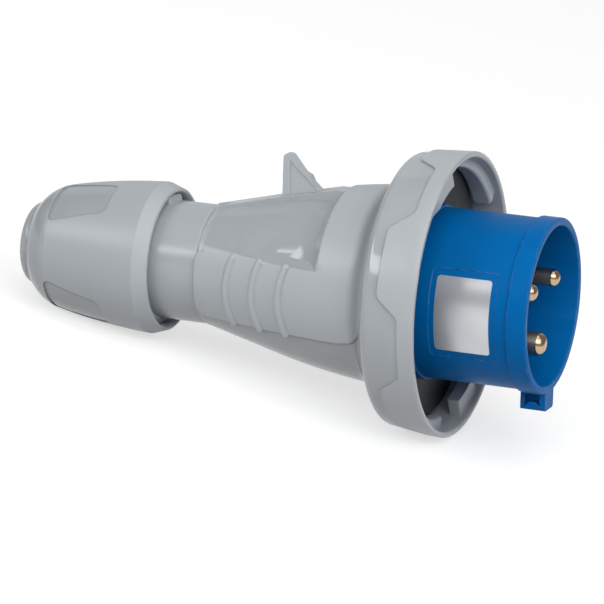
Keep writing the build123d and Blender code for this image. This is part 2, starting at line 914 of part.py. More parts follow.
with BuildPart() as handle:
    add(grip_solid(panel_rise))
    for side in (-1, 1):
        add(flank_cut(side), mode=Mode.SUBTRACT)
    add(under_cut.part, mode=Mode.SUBTRACT)
    add(panel_corners.part, mode=Mode.SUBTRACT)
    add(
        revolved(
            (handle_front, 0),
            (handle_front, spigot_radius),
            (flange_front, spigot_radius),
            (flange_front, flange_radius),
            (flange_back, flange_radius),
            (flange_back, 0),
        )
    )
    with BuildSketch(Plane.XZ):
        with BuildLine():
            JernArc((flange_back, flange_radius), (0, -1), flange_foot, -90)
            Polyline(
                (grip_front, grip_front_radius + panel_rise),
                (grip_front - 2 * panel_rise, grip_front_radius - panel_rise),
                (grip_front - 2 * panel_rise, 0),
                (flange_back, 0),
                (flange_back, flange_radius),
            )
        make_face()
    revolve(axis=Axis.X)
    add(
        revolved(
            (grip_back, 0),
            (grip_back, neck_radius),
            (neck_back, neck_radius),
            (neck_back - thread_lead, thread_radius),
            (handle_back + thread_lead, thread_radius),
            (handle_back, thread_radius - thread_lead),
            (handle_back, 0),
        )
    )
    with BuildSketch(Plane.XZ):
        with BuildLine():
            Polyline(
                (grip_back, neck_bore),
                (grip_back, ridge_rear_height),
                (hook_back, ridge_hook_height),
                (wall_back, ridge_front_height),
                (wall_front, ridge_front_height),
                (wall_front, neck_bore),
                close=True,
            )
        make_face()
    extrude(amount=ridge_width / 2, both=True)
    add(hook.part)
    for number in range(rib_count):
        near_rib = rib(number)
        add(near_rib)
        add(near_rib.mirror(Plane.XZ))
    for side in range(2):
        turn = stop_turn + lug_spread * side
        with BuildSketch(Plane.YZ.offset(flange_front)):
            with BuildLine():
                Line((0, 0), across(spigot_radius + stop_height, turn - stop_half_turn))
                ThreePointArc(
                    across(spigot_radius + stop_height, turn - stop_half_turn),
                    across(spigot_radius + stop_height, turn),
                    across(spigot_radius + stop_height, turn + stop_half_turn),
                )
                Line(across(spigot_radius + stop_height, turn + stop_half_turn), (0, 0))
            make_face()
        extrude(amount=handle_front - flange_front)
    add(
        revolved(
            (handle_front, 0),
            (handle_front, carrier_bore),
            (cavity_front, carrier_bore),
            (cavity_front, carrier_bore - handle_step),
            (wall_back, flank_front_radius - handle_wall),
            (grip_back, neck_bore),
            (seal_seat, neck_bore),
            (seal_seat, seal_pocket_radius),
            (handle_back, seal_pocket_radius),
            (handle_back, 0),
        ),
        mode=Mode.SUBTRACT,
    )
    for turn in screw_turns:
        with BuildSketch(Plane.YZ.offset(boss_back)):
            with Locations(across(carrier_screw_circle, turn)):
                Circle(boss_radius)
        extrude(amount=boss_length)
        with BuildSketch(Plane.YZ.offset(boss_back)):
            with Locations(across(carrier_screw_circle + boss_radius, turn)):
                Rectangle(2 * boss_radius, boss_web, rotation=turn + 90)
        extrude(amount=cavity_front - boss_back)
        with BuildSketch(Plane.YZ.offset(screw_tip - running_gap)):
            with Locations(across(carrier_screw_circle, turn)):
                Circle(carrier_screw_radius + pin_gap)
        extrude(amount=boss_front - screw_tip + running_gap, mode=Mode.SUBTRACT)

# Gland: a rubber seal in the pocket, a washer, a cage whose fingers close on the cord, the cap nut that
# drives them along, and a soft guide that is held in the nut's rear wall.
with BuildPart() as cable_seal:
    add(
        revolved(
            (seal_seat, cable_radius + seal_bevel),
            (seal_seat, seal_pocket_radius - seal_gap - seal_bevel),
            (seal_seat - seal_bevel, seal_pocket_radius - seal_gap),
            (cable_seal_back, seal_pocket_radius - seal_gap),
            (cable_seal_back, cable_radius + seal_bevel),
            (cable_seal_back + seal_bevel, cable_radius),
            (seal_seat - seal_bevel, cable_radius),
        )
    )

cone_front = thrust_front + running_gap
cone_slope = (nut_cone_front_radius - nut_cone_rear_radius) / (cone_front - guide_lip_back)


def cone_radius(x):
    """The radius of the nut's inner cone at a station."""
    return nut_cone_front_radius - cone_slope * (cone_front - x)


cage_front_radius = cone_radius(thrust_back - cage_base) - running_gap
cage_tip_radius = cone_radius(cage_back) - running_gap
with BuildPart() as thrust_washer:
    add(
        revolved(
            (thrust_front, cage_bore),
            (thrust_front, cone_radius(thrust_back) - running_gap),
            (thrust_back, cone_radius(thrust_back) - running_gap),
            (thrust_back, cage_bore),
        )
    )

with BuildPart() as clamp_cage:
    add(
        revolved(
            (thrust_back, cage_bore),
            (thrust_back, cage_front_radius),
            (thrust_back - cage_base, cage_front_radius),
            (cage_back, cage_tip_radius),
            (cage_back, cage_tip_radius - cage_wall - cage_tooth),
            (cage_back + 2 * cage_tooth, cage_tip_radius - cage_wall),
            (thrust_back - cage_base, cage_front_radius - cage_wall),
            (thrust_back - cage_base, cage_bore),
        )
    )
    with BuildSketch(Plane.YZ.offset(cage_back)):
        with PolarLocations(nut_cone_front_radius / 2, cage_fingers):
            Rectangle(nut_cone_front_radius, cage_slit)
    extrude(amount=thrust_back - cage_base - cage_back, mode=Mode.SUBTRACT)


def nut_solid(sunk):
    """The nut's outer form as a solid, sunk by an amount: bevel, crown and rounded tail."""
    crown_front = (nut_edge, nut_radius - sunk)
    crown_back = (nut_crown_back, nut_crown_rear_radius - sunk)
    tail_middle = nut_crown_back - nut_tail * 2 / 3
    with BuildPart() as solid:
        with BuildSketch(Plane.XZ):
            with BuildLine():
                Polyline((nut_back, 0), (nut_front, 0), (nut_front, nut_front_radius - sunk), crown_front)
                SagittaArc(crown_front, crown_back, -nut_crown_sagitta)
                ThreePointArc(
                    crown_back,
                    (tail_middle, nut_crown_rear_radius - sunk - nut_tail_drop * nut_tail_swell),
                    (nut_back, nut_rear_radius - sunk),
                )
                Line((nut_back, nut_rear_radius - sunk), (nut_back, 0))
            make_face()
        revolve(axis=Axis.X)
    return solid.part


def scallop(turn):
    """A shallow finger hollow in the nut's crown, wider towards the rear."""
    front_half = chord(nut_radius, scallop_front_turn)
    rear_half = chord(nut_crown_rear_radius, scallop_rear_turn)
    with BuildPart() as hollow:
        with BuildSketch(facing_plane(turn)) as face:
            with BuildLine():
                Polyline(
                    (scallop_front, -front_half),
                    (scallop_front, front_half),
                    (scallop_back, rear_half),
                    (scallop_back, -rear_half),
                    close=True,
                )
            make_face()
            fillet(face.vertices(), scallop_round)
        extrude(amount=nut_radius + nut_bevel)
        add(nut_solid(scallop_depth), mode=Mode.SUBTRACT)
    return hollow.part


scallop_front = nut_edge - scallop_setback
scallop_back = scallop_front - scallop_length
thread_bore = thread_radius + running_gap
guide_hole = guide_radius + seat_gap
with BuildPart() as gland_nut:
    add(nut_solid(0))
    front_rim = gland_nut.edges().filter_by(GeomType.CIRCLE).group_by(Axis.X)[-1]
    fillet(front_rim, nut_edge_round)
    for number in range(scallop_count):
        add(scallop(scallop_first + number * scallop_pitch), mode=Mode.SUBTRACT)
    add(
        revolved(
            (nut_front, 0),
            (nut_front, nut_mouth_radius),
            (nut_front - thread_lead, thread_bore),
            (cone_front, thread_bore),
            (cone_front, nut_cone_front_radius),
            (guide_lip_back, nut_cone_rear_radius),
            (guide_lip_back, guide_hole),
            (nut_back, guide_hole),
            (nut_back, 0),
        ),
        mode=Mode.SUBTRACT,
    )

with BuildPart() as cord_guide:
    with BuildSketch(Plane.XZ):
        with BuildLine():
            Polyline(
                (guide_back + guide_round, guide_bore),
                (guide_lip_back + guide_lip_thickness, guide_bore),
                (guide_lip_back + guide_lip_thickness, guide_radius + guide_lip),
                (guide_lip_back, guide_radius + guide_lip),
                (guide_lip_back, guide_radius),
                (guide_back + guide_round, guide_radius),
            )
            JernArc((guide_back + guide_round, guide_radius), (-1, 0), guide_round, 90)
            Line(
                (guide_back, guide_radius - guide_round),
                (guide_back, guide_bore + guide_flare),
            )
            JernArc((guide_back, guide_bore + guide_flare), (0, -1), guide_flare, 90)
            Line((guide_back + guide_flare, guide_bore), (guide_back + guide_round, guide_bore))
        make_face()
    revolve(axis=Axis.X)

# Rest pose: the plug lies on the ring's shoulder and the nut's crown, which tips its nose up. The
# origin is under the middle of the plug's bounding box, on the floor.
crown_chord = hypot(nut_crown, nut_radius - nut_crown_rear_radius)
crown_bulge = crown_chord ** 2 / (8 * nut_crown_sagitta) + nut_crown_sagitta / 2
crown_lean = atan2(nut_radius - nut_crown_rear_radius, nut_crown)
crown_x = (nut_edge + nut_crown_back) / 2 + (crown_bulge - nut_crown_sagitta) * sin(crown_lean)
crown_r = (nut_radius + nut_crown_rear_radius) / 2 - (crown_bulge - nut_crown_sagitta) * cos(crown_lean)
span = hypot(shoulder_x - crown_x, shoulder_r - crown_r)
rest_tilt = atan2(shoulder_r - crown_r, shoulder_x - crown_x) - asin((crown_bulge - ring_shoulder) / span)
rest_height = shoulder_r * cos(rest_tilt) + ring_shoulder - shoulder_x * sin(rest_tilt)
pieces = {
    "handle_body": handle.part,
    "locking_ring": locking_ring.part,
    "pin_carrier": pin_carrier.part,
    "face_gasket": face_gasket.part,
    "body_seal": body_seal.part,
    "rating_label": rating_label.part,
    "earth_pin": earth_pin,
    "line_pin": line_pin,
    "neutral_pin": neutral_pin,
    "earth_terminal_screw": earth_screw,
    "line_terminal_screw": line_screw,
    "neutral_terminal_screw": neutral_screw,
    "terminal_holder": terminal_holder.part,
    "holder_screw": holder_screw,
    "carrier_screw_left": carrier_screws[0],
    "carrier_screw_right": carrier_screws[1],
    "cable_seal": cable_seal.part,
    "thrust_washer": thrust_washer.part,
    "clamp_cage": clamp_cage.part,
    "gland_nut": gland_nut.part,
    "cord_guide": cord_guide.part,
}
tipped = Rot(0, -degrees(rest_tilt), 0)
outline = Compound([tipped * pieces["pin_carrier"], tipped * pieces["locking_ring"], tipped * cord_guide.part])
middle = outline.bounding_box().center()
rest = Pos(-middle.X, 0, rest_height) * tipped
for name, piece in pieces.items():
    placed = rest * piece
    placed.label = name
    export_step(placed, f"parts/{name}.step")
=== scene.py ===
import bpy
import bmesh
import json
from math import cos, pi, radians, sin
from mathutils import Matrix, Vector
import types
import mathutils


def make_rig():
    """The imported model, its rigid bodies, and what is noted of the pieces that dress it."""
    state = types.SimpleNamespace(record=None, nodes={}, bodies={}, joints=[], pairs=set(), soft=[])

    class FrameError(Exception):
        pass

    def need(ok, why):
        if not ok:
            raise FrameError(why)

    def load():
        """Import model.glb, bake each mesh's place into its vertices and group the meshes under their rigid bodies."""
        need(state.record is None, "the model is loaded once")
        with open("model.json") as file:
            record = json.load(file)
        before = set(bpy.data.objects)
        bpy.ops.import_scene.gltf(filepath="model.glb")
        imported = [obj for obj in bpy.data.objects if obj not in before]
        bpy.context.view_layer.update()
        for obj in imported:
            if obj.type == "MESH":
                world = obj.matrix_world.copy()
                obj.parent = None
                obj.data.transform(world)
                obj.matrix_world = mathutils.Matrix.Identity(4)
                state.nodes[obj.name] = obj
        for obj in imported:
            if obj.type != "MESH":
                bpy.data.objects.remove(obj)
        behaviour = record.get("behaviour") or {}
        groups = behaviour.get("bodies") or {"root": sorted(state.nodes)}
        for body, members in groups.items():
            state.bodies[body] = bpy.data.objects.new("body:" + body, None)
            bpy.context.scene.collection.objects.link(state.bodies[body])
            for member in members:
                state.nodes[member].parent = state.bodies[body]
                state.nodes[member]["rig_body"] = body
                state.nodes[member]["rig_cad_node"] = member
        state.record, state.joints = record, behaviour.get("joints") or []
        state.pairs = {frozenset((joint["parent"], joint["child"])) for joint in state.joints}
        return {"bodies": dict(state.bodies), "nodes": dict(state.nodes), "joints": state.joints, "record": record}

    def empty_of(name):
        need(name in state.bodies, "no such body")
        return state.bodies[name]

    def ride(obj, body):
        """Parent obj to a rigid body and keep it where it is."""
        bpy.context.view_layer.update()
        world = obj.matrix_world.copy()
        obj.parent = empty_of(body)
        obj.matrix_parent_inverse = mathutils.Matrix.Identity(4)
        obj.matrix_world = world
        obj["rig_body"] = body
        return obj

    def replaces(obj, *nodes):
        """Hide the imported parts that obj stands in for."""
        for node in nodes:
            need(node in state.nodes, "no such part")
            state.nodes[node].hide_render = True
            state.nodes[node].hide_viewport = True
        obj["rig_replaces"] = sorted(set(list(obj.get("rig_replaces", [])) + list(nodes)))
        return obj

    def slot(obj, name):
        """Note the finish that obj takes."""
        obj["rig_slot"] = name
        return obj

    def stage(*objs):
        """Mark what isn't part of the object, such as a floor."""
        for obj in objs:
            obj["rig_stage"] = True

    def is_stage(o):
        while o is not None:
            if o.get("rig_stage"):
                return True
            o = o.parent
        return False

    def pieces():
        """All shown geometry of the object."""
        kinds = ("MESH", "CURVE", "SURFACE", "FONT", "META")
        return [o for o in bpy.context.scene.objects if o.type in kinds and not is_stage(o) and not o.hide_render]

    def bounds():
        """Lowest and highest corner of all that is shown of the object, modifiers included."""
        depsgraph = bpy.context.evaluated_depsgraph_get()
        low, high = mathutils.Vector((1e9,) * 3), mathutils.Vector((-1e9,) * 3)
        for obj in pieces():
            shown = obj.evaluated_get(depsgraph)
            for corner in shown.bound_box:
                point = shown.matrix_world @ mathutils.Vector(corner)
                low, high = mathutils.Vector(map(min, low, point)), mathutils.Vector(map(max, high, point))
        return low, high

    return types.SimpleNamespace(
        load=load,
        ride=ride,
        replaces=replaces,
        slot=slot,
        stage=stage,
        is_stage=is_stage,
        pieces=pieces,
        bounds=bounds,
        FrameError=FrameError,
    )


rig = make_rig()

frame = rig.load()
cad_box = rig.bounds()


# The studio: a pale sweep of floor in a dim room, with five large soft lamps round the plug. Seen by the
# camera or in a gloss, the floor is lifted to white by its own colour, not by more light, and it keeps the
# plug's soft shadow.
def material(name):
    """An empty node material."""
    made = bpy.data.materials.new(name)
    made.use_nodes = True
    made.node_tree.nodes.clear()
    return made


def shade(tree, kind, feeds=(), **settings):
    """A node with its settings, and its inputs set to values or linked to other sockets."""
    node = tree.nodes.new(kind)
    for key, value in settings.items():
        setattr(node, key, value)
    for key, value in dict(feeds).items():
        if isinstance(value, bpy.types.NodeSocket):
            tree.links.new(value, node.inputs[key])
        else:
            node.inputs[key].default_value = value
    return node


def sums(tree, operation, *terms):
    """A math node on sockets or numbers, and its result."""
    return shade(tree, "ShaderNodeMath", dict(enumerate(terms)), operation=operation).outputs[0]


paper_grey = (0.5, 0.5, 0.5, 1)
lift_to_white = 0.62
floor_mat = material("studio_floor")
tree = floor_mat.node_tree
paper = shade(tree, "ShaderNodeBsdfDiffuse", {"Color": paper_grey})
path = shade(tree, "ShaderNodeLightPath").outputs
seen = sums(tree, "MAXIMUM", path["Is Camera Ray"], path["Is Glossy Ray"])
seen = sums(tree, "MAXIMUM", seen, path["Is Transmission Ray"])
glow = sums(tree, "MULTIPLY", seen, lift_to_white)
lift = shade(tree, "ShaderNodeEmission", {"Color": (1, 1, 1, 1), "Strength": glow})
both = shade(tree, "ShaderNodeAddShader", {0: paper.outputs[0], 1: lift.outputs[0]})
shade(tree, "ShaderNodeOutputMaterial", {"Surface": both.outputs[0]})

floor_half = 3.0
floor_mesh = bpy.data.meshes.new("studio_floor")
corners = [(x * floor_half, y * floor_half, 0) for x, y in ((-1, -1), (1, -1), (1, 1), (-1, 1))]
floor_mesh.from_pydata(corners, [], [(0, 1, 2, 3)])
floor_mesh.materials.append(floor_mat)
floor = bpy.data.objects.new("studio_floor", floor_mesh)
bpy.context.scene.collection.objects.link(floor)
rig.stage(floor)

world = bpy.data.worlds.new("studio_room")
world.use_nodes = True
bpy.context.scene.world = world
room = world.node_tree.nodes["Background"]
room.inputs["Color"].default_value = (0.95, 0.97, 1.0, 1)
room.inputs["Strength"].default_value = 0.25

lamp_aim = Vector((0, 0, 0.05))


def soft_lamp(name, turn, height, far, size, power):
    """An area lamp that looks at the plug from a turn about it and a height above it, in degrees."""
    lamp = bpy.data.lights.new(name, "AREA")
    lamp.shape = "RECTANGLE"
    lamp.size, lamp.size_y = size
    lamp.energy = power
    stand = bpy.data.objects.new(name, lamp)
    turn, height = radians(turn), radians(height)
    away = Vector((cos(height) * cos(turn), cos(height) * sin(turn), sin(height)))
    stand.location = lamp_aim + away * far
    stand.rotation_euler = away.to_track_quat("Z", "Y").to_euler()
    bpy.context.scene.collection.objects.link(stand)


soft_lamp("lamp_above", turn=-62, height=75, far=1.4, size=(1.2, 1.0), power=4.9)
soft_lamp("lamp_front", turn=-72, height=37, far=1.4, size=(1.0, 0.7), power=6.8)
soft_lamp("lamp_right", turn=-30, height=35, far=1.4, size=(1.0, 0.8), power=6.4)
soft_lamp("lamp_strip", turn=-139, height=21.5, far=1.4, size=(1.0, 0.30), power=5.8)
soft_lamp("lamp_far_side", turn=108, height=26, far=1.7, size=(2.0, 1.5), power=4.5)

# The camera: far off with a long lens, near the plug's front left and a little above it. It stands where
# the photograph's camera stood relative to the plug, and is rolled as far as the plug leans there.
camera_distance = 1.528
camera_azimuth = radians(-72.0926)
camera_elevation = radians(17.7566)
camera_roll = radians(12.8144)
camera_aim = Vector((0.0057675, -0.0038484, 0.0290974))
camera_data = bpy.data.cameras.new("camera")
camera_data.lens = 277.5
camera_data.sensor_width = 36
camera_data.clip_end = 20
camera = bpy.data.objects.new("camera", camera_data)
back = Vector((
    cos(camera_elevation) * cos(camera_azimuth),
    cos(camera_elevation) * sin(camera_azimuth),
    sin(camera_elevation),
))
camera.location = camera_aim + back * camera_distance
rolled = back.to_track_quat("Z", "Y").to_matrix() @ Matrix.Rotation(camera_roll, 3, "Z")
camera.rotation_euler = rolled.to_euler()
bpy.context.scene.collection.objects.link(camera)
bpy.context.scene.camera = camera
bpy.context.scene.view_settings.view_transform = "Standard"

# The handle: one hollow grey moulding that the rest is fastened to. Its side panels, collar and ribs carry
# the grain of a spark-eroded mould, the flanks above them and the lower surface are polished, and the neck
# behind them is satin.
mm = 0.001

# The plug's own line. It lies on the ring's shoulder and the nut's crown, so its axis is tipped nose up.
# The ring's joint gives a point on that axis, 45 mm behind the mating face, and its direction.
joint_station = -0.045
ring_joint = next(j for j in frame["joints"] if j["name"] == "ring_turn")
line_ahead = Vector(ring_joint["axis"]).normalized()
line_across = Vector((0, 1, 0))
line_above = line_ahead.cross(line_across)
line_turned = Matrix((line_ahead, line_across, line_above)).transposed()
mating_face = Vector(ring_joint["pos_m"]) - line_ahead * joint_station
plug_place = Matrix.Translation(mating_face) @ line_turned.to_4x4()


def plug_point(vector):
    """A point of the frame as millimetres along, across and above the plug's own line."""
    return (plug_place.inverted() @ vector) * 1000


def frame_point(x, y, z):
    """A place in millimetres along, across and above the plug's own line as a point of the frame."""
    return plug_place @ (Vector((x, y, z)) * mm)


def node_group(name, kind, given, made):
    """An empty node group with named inputs and outputs, each with its kind of socket."""
    group = bpy.data.node_groups.new(name, kind)
    for in_out, sockets in (("INPUT", given), ("OUTPUT", made)):
        for socket, holds in sockets.items():
            group.interface.new_socket(socket, in_out=in_out, socket_type="NodeSocket" + holds)
    return group


def between(tree, value, low, high, to_low=0.0, to_high=1.0):
    """A smooth step of a value from one end of a range to the other."""
    step = shade(
        tree, "ShaderNodeMapRange",
        {"Value": value, "From Min": low, "From Max": high, "To Min": to_low, "To Max": to_high},
        interpolation_type="SMOOTHSTEP",
    )
    return step.outputs["Result"]


# Where a point of a surface lies: along the plug's line, away from it, and as a place, in millimetres.
line_group = node_group(
    "plug_line", "ShaderNodeTree", {}, {"Along": "Float", "Radius": "Float", "Place": "Vector"},
)
spot = shade(line_group, "ShaderNodeTexCoord").outputs["Object"]
spot = shade(
    line_group, "ShaderNodeMapping",
    {"Vector": spot, "Location": mating_face, "Rotation": line_turned.to_euler(), "Scale": (mm, mm, mm)},
    vector_type="TEXTURE",
).outputs[0]
parts = shade(line_group, "ShaderNodeSeparateXYZ", {"Vector": spot}).outputs
across = shade(line_group, "ShaderNodeCombineXYZ", {"Y": parts["Y"], "Z": parts["Z"]})
reach = shade(line_group, "ShaderNodeVectorMath", {0: across.outputs[0]}, operation="LENGTH")
shade(line_group, "NodeGroupOutput", {"Along": parts["X"], "Radius": reach.outputs["Value"], "Place": spot})

# The skin that a mould gives: fine pores, slow sink waves over the thick places, and clouds in the colour.
grain_group = node_group(
    "moulded_grain", "ShaderNodeTree",
    {"Place": "Vector", "Pores per mm": "Float"}, {"Pores": "Float", "Sink": "Float", "Cloud": "Float"},
)
starts = shade(grain_group, "NodeGroupInput").outputs
place = starts["Place"]
pores = shade(
    grain_group, "ShaderNodeTexNoise",
    {"Vector": place, "Scale": starts["Pores per mm"], "Detail": 3.0, "Roughness": 0.6},
)
waves = shade(
    grain_group, "ShaderNodeTexNoise", {"Vector": place, "Scale": 0.09, "Detail": 1.0, "Roughness": 0.4},
)
flow = shade(
    grain_group, "ShaderNodeTexNoise", {"Vector": place, "Scale": 0.06, "Detail": 3.0, "Distortion": 0.6},
)
shade(
    grain_group, "NodeGroupOutput",
    {"Pores": pores.outputs["Fac"], "Sink": waves.outputs["Fac"], "Cloud": flow.outputs["Fac"]},
)

# Rubbed edges: 1 on the crests where hands and benches touch, broken up along their length.
wear_group = node_group(
    "rubbed_edges", "ShaderNodeTree", {"Place": "Vector", "Reach": "Float"}, {"Mask": "Float"},
)
starts = shade(wear_group, "NodeGroupInput").outputs
round_edge = shade(wear_group, "ShaderNodeBevel", {"Radius": starts["Reach"]}, samples=4)
facet = shade(wear_group, "ShaderNodeNewGeometry")
match = shade(
    wear_group, "ShaderNodeVectorMath", {0: round_edge.outputs[0], 1: facet.outputs["Normal"]},
    operation="DOT_PRODUCT",
)
crest = between(wear_group, match.outputs["Value"], 0.99, 0.90)
patch = shade(wear_group, "ShaderNodeTexNoise", {"Vector": starts["Place"], "Scale": 0.35, "Detail": 4.0})
broken = between(wear_group, patch.outputs["Fac"], 0.35, 0.65)
shade(wear_group, "NodeGroupOutput", {"Mask": sums(wear_group, "MULTIPLY", crest, broken)})


def blend_colour(tree, share, first, second):
    """A colour that goes from the first to the second, each a colour or a socket."""
    first, second = (end if isinstance(end, bpy.types.NodeSocket) else (*end, 1) for end in (first, second))
    first_input, second_input, colour_output = 6, 7, 2
    mix = shade(tree, "ShaderNodeMix", {0: share, first_input: first, second_input: second}, data_type="RGBA")
    return mix.outputs[colour_output]


def moulded_plastic(
    name, colour, paler, polished, grained, grain_mask=None, pore=0.02, sink=0.0, painted_shade_mask=None, edge_round=0.4,
    **sockets
):
    """The finish of a moulding. Its colour, gloss and pores follow a mask from polished, where it is 0, to
    grained and paler, where it is 1. With no mask the gloss drifts between the two. The height of the pores
    and of the slow waves, and the radius of the rounded edges, 0 for a film, are in millimetres. A second
    mask says where shade is painted into the colour, darkening it. Other sockets keep one value all over."""
    mat = material(name)
    tree = mat.node_tree
    line = shade(tree, "ShaderNodeGroup", node_tree=line_group)
    place = line.outputs["Place"]
    grain = shade(tree, "ShaderNodeGroup", node_tree=grain_group, feeds={"Place": place, "Pores per mm": 2.0})
    cloud = grain.outputs["Cloud"]
    dusky_colour = [0.96 * c for c in colour]
    rubbed_colour = [0.6 * c + 0.3 for c in paler]
    painted_shade_colour = [0.5 * c for c in colour]
    tone = blend_colour(tree, between(tree, cloud, 0.35, 0.65), colour, dusky_colour)
    if grain_mask:
        mask = grain_mask(tree, line)
        clouded = sums(tree, "MULTIPLY", mask, between(tree, cloud, 0.2, 0.8, 0.8, 1.0))
        tone = blend_colour(tree, clouded, tone, paler)
        rough = between(tree, mask, 0.0, 1.0, polished, grained)
        height = sums(tree, "MULTIPLY", sums(tree, "MULTIPLY", grain.outputs["Pores"], mask), pore)
    else:
        rough = between(tree, cloud, 0.3, 0.7, polished, grained)
        height = sums(tree, "MULTIPLY", grain.outputs["Pores"], pore)
    rough = sums(tree, "ADD", rough, between(tree, cloud, 0.3, 0.7, -0.02, 0.02))
    height = sums(tree, "MULTIPLY_ADD", grain.outputs["Sink"], sink, height)
    bump = shade(tree, "ShaderNodeBump", {"Height": height, "Distance": mm, "Strength": 1.0})
    if edge_round:
        rub_width = 1.5 * edge_round * mm
        wear = shade(
            tree, "ShaderNodeGroup", node_tree=wear_group, feeds={"Place": place, "Reach": rub_width},
        )
        worn = wear.outputs["Mask"]
        tone = blend_colour(tree, sums(tree, "MULTIPLY", worn, 0.35), tone, rubbed_colour)
        rough = sums(tree, "MULTIPLY_ADD", worn, 0.06, rough)
        edge = shade(tree, "ShaderNodeBevel", {"Radius": edge_round * mm}, samples=4)
        tree.links.new(edge.outputs[0], bump.inputs["Normal"])
    # Painted shade: where the second mask is high, the colour is darkened.
    if painted_shade_mask:
        tone = blend_colour(tree, painted_shade_mask(tree, line), tone, painted_shade_colour)
    body = shade(
        tree, "ShaderNodeBsdfPrincipled",
        {"Base Color": tone, "Roughness": rough, "Normal": bump.outputs[0], "IOR": 1.5},
    )
    for key, value in sockets.items():
        body.inputs[key.replace("_", " ")].default_value = value
    shade(tree, "ShaderNodeOutputMaterial", {"Surface": body.outputs[0]})
    return mat


def laid(name, mesh, body, slot):
    """A piece of the scene from its mesh, which rides on a body and has its record slot."""
    piece = bpy.data.objects.new(name, mesh)
    bpy.context.scene.collection.objects.link(piece)
    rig.ride(piece, body)
    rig.slot(piece, slot)
    return piece


def finished(node, slot, finish, crisp=32, reshape=None):
    """A CAD node's mesh as one closed skin in its finish, smooth but for edges past the crisp angle."""
    solid = frame["nodes"][node]
    mesh = solid.data.copy()
    mesh.name = node + "_skin"
    skin = bmesh.new()
    skin.from_mesh(mesh)
    bmesh.ops.remove_doubles(skin, verts=skin.verts, dist=2e-6)
    if reshape:
        reshape(skin)
    skin.to_mesh(mesh)
    skin.free()
    mesh.materials.clear()
    mesh.materials.append(finish)
    if "custom_normal" in mesh.attributes:
        mesh.attributes.remove(mesh.attributes["custom_normal"])
    mesh.shade_smooth()
    mesh.set_sharp_from_angle(angle=radians(crisp))
    piece = laid(node + "_skin", mesh, solid["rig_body"], slot)
    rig.replaces(piece, node)


# The raised grip stands on a cone that widens from the grip's rear end towards the flange, and less and less
# from bend_start on. Sizes are in millimetres, and places are counted along the plug's line.
mould_grey = (0.365, 0.391, 0.412)
mould_grey_pale = (0.425, 0.453, 0.475)
grip_rear = -117.2
grip_step, step_blur = -117.0, 0.4
cone_radius = 20.0
cone_taper = 0.2525
bend_start = 26.0
bend = 0.00235


def grip_panels(tree, line):
    """1 on the raised panels, collar and ribs, 0 on the polished faces between them, 0.55 on both sides of
    the step down to the neck, and 0.4 on the neck."""
    along = line.outputs["Along"]
    behind = sums(tree, "SUBTRACT", along, grip_rear)
    curve = sums(tree, "MAXIMUM", sums(tree, "SUBTRACT", behind, bend_start), 0.0)
    swell = sums(tree, "MULTIPLY", sums(tree, "MULTIPLY", curve, curve), bend)
    base = sums(tree, "SUBTRACT", sums(tree, "MULTIPLY_ADD", behind, cone_taper, cone_radius), swell)
    raised = between(tree, sums(tree, "SUBTRACT", line.outputs["Radius"], base), 0.3, 0.7)
    grip = sums(tree, "MULTIPLY", raised, between(tree, along, grip_step - step_blur, grip_step))
    from_step = sums(tree, "ABSOLUTE", sums(tree, "SUBTRACT", along, grip_step))
    grip = sums(tree, "MAXIMUM", grip, between(tree, from_step, 2.6, 1.0, 0.0, 0.55))
    neck = between(tree, along, grip_step, grip_step - step_blur, 0.0, 0.4)
    return sums(tree, "MAXIMUM", grip, neck)


def joint_painted_shade(tree, line):
    """Painted shade in the hollow in front of the collar, where the ring turns: its colour is darkened as if the ring
    shaded it.
    """
    along = line.outputs["Along"]
    outside = between(tree, line.outputs["Radius"], 31.5, 33.0)
    rear = between(tree, along, -60.0, -55.6)
    front = between(tree, along, -52.6, -55.0, 0.3, 1.0)
    hollow = sums(tree, "MULTIPLY", rear, front)
    return sums(tree, "MULTIPLY", sums(tree, "MULTIPLY", hollow, outside), 0.75)


# The handle's colour has painted shade in the hollow in front of the collar, where the ring turns.
handle_plastic = moulded_plastic(
    "handle_plastic", colour=mould_grey, paler=mould_grey_pale, polished=0.12, grained=0.39,
    grain_mask=grip_panels, pore=0.03, sink=0.012, painted_shade_mask=joint_painted_shade,
)

# The neck's screw thread, which draws the cap nut in, follows a rule: a sheet is rolled into a tube whose
# radius drops in a groove that climbs round it, three millimetres a turn, and fades out at both ends.
thread_sizes = {"Pitch": 3.0, "Depth": 1.05, "Crest Radius": 21.8, "Length": 16.4}
thread_front = -135.72
fade_start, fade_end = 0.2, 1.4
crest_share, root_share = 0.17, 0.31
thread_tree = node_group(
    "neck_thread", "GeometryNodeTree",
    {**dict.fromkeys(thread_sizes, "Float"), "Finish": "Material"}, {"Thread": "Geometry"},
)


def thread_sum(operation, *terms):
    """A math node of the thread's tree, and its result."""
    return sums(thread_tree, operation, *terms)


sizes = shade(thread_tree, "NodeGroupInput").outputs
sheet = shade(
    thread_tree, "GeometryNodeMeshGrid", {"Size X": 1.0, "Size Y": 1.0, "Vertices X": 110, "Vertices Y": 145},
)
spot = shade(thread_tree, "GeometryNodeInputPosition").outputs[0]
spot = shade(thread_tree, "ShaderNodeSeparateXYZ", {0: spot}).outputs
share = thread_sum("ADD", spot["X"], 0.5)
lap = thread_sum("ADD", spot["Y"], 0.5)
depth_in = thread_sum("MULTIPLY", share, sizes["Length"])
left_over = thread_sum("SUBTRACT", sizes["Length"], depth_in)
climb = thread_sum("ADD", thread_sum("DIVIDE", depth_in, sizes["Pitch"]), lap)
swing = thread_sum("ABSOLUTE", thread_sum("SUBTRACT", thread_sum("FRACT", climb), 0.5))
fade_in = between(thread_tree, depth_in, fade_start, fade_end)
fade_out = between(thread_tree, left_over, fade_start, fade_end)
groove = between(thread_tree, swing, crest_share, root_share)
